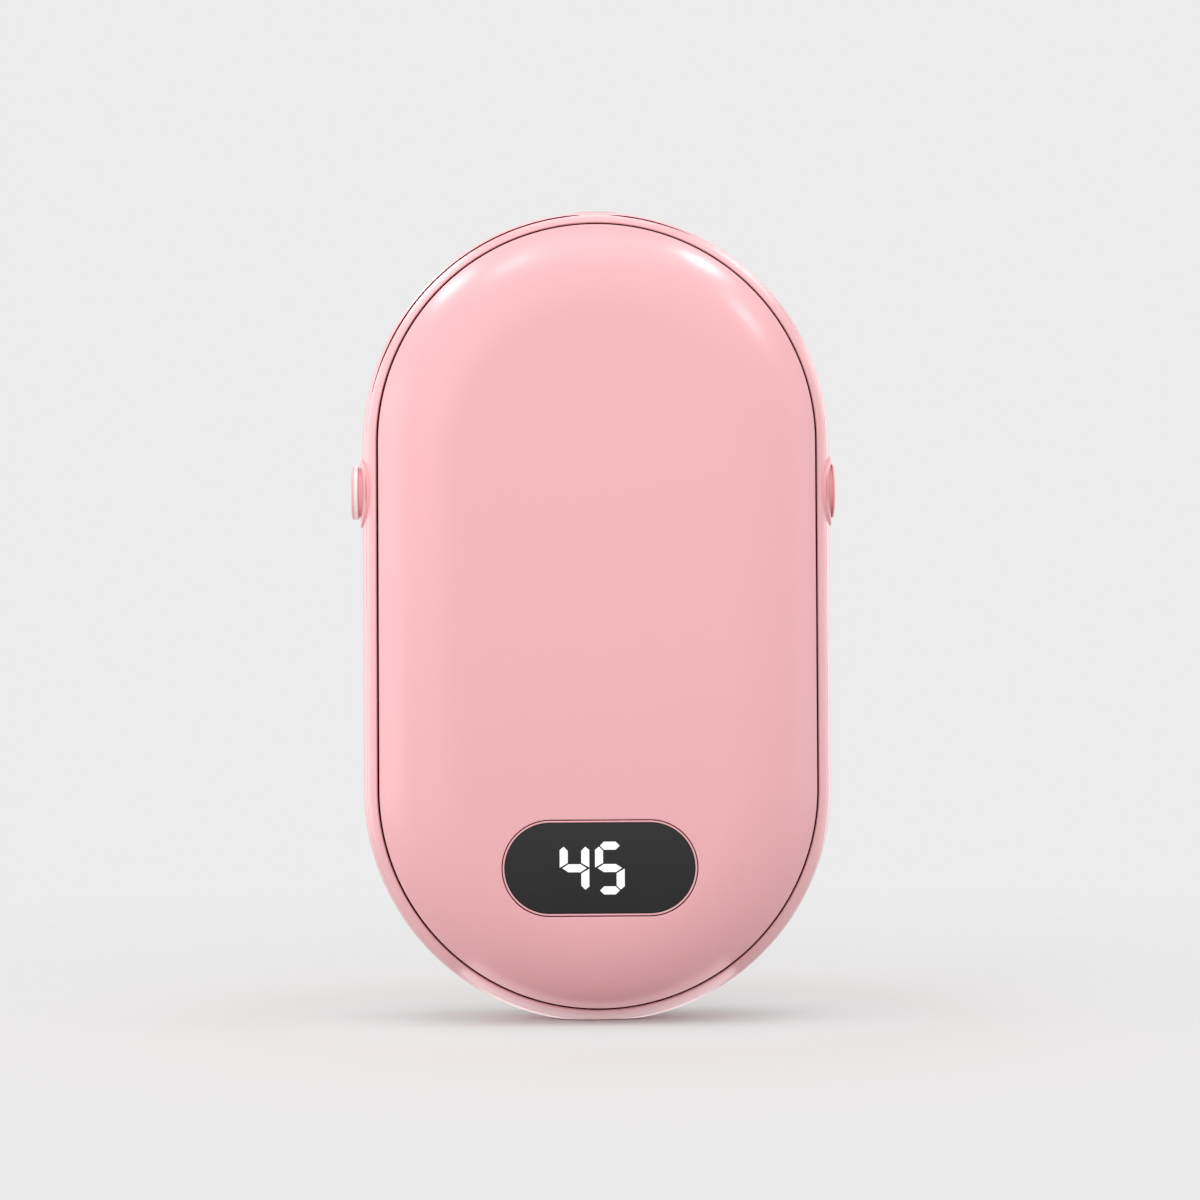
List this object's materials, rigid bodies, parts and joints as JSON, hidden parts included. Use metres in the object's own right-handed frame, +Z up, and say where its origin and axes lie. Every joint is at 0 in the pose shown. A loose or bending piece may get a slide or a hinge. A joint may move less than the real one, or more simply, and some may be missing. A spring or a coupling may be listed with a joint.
{
  "type": "rechargeable hand warmer",
  "caption": "Pocket oval hand warmer with inset face panels, a lit number display, side push buttons and a charging port in its flat foot.",
  "frame": {"origin": "middle of the flat foot that the warmer stands on", "axes": "+Z up, from the foot to the power button; -Y out of the display face; +X to the right as the display is read"},
  "size_m": [0.069, 0.027, 0.1141],
  "materials": {
    "body_plastic": "soft satin pink",
    "panel_plastic": "soft satin pink",
    "accent_plastic": "satin mauve",
    "lens": "dark tinted, smooth",
    "digit": "lit white",
    "white_plastic": "moulded",
    "led": "clear resin",
    "black_plastic": "moulded",
    "board": "solder mask",
    "film": "amber polyimide",
    "steel": "plated",
    "plate": "rolled foil",
    "foam": "closed cell foam",
    "wire": "insulated"
  },
  "bodies": {
    "case": {"front_housing": "body_plastic", "back_housing": "body_plastic", "left_collar": "body_plastic", "right_collar": "body_plastic", "display_bezel": "body_plastic", "front_panel": "panel_plastic", "back_panel": "panel_plastic", "display_lens": "lens", "digit_segments": "digit", "display_reflector": "white_plastic", "battery_connector": "white_plastic", "heater_connectors": "white_plastic", "flex_connectors": "white_plastic", "segment_leds": "led", "left_switch": "black_plastic", "right_switch": "black_plastic", "power_switch": "black_plastic", "control_chips": "black_plastic", "power_inductor": "black_plastic", "capacitors": "black_plastic", "socket_tongue": "black_plastic", "thermistors": "black_plastic", "left_switch_board": "board", "right_switch_board": "board", "power_switch_board": "board", "main_board": "board", "battery_board": "board", "left_flex": "film", "right_flex": "film", "power_flex": "film", "front_heater_film": "film", "back_heater_film": "film", "charging_socket": "steel", "housing_screws": "steel", "board_screws": "steel", "front_heat_plate": "plate", "back_heat_plate": "plate", "front_cell": "plate", "back_cell": "plate", "front_cell_pad": "foam", "back_cell_pad": "foam", "cell_tape": "foam", "battery_leads": "wire"},
    "left_push": {"left_button": "body_plastic", "left_plunger": "black_plastic"},
    "right_push": {"right_button": "body_plastic", "right_plunger": "black_plastic"},
    "power_push": {"power_button": "accent_plastic", "power_plunger": "black_plastic"}
  },
  "joints": [
    {"name": "left_press", "type": "slide", "parent": "case", "child": "left_push", "axis": [1, 0, 0], "range_m": [0, 0.00035], "stiffness_N_per_m": 3000},
    {"name": "right_press", "type": "slide", "parent": "case", "child": "right_push", "axis": [-1, 0, 0], "range_m": [0, 0.00035], "stiffness_N_per_m": 3000},
    {"name": "power_press", "type": "slide", "parent": "case", "child": "power_push", "axis": [0, 0, -1], "range_m": [0, 0.00035], "stiffness_N_per_m": 3000}
  ]
}
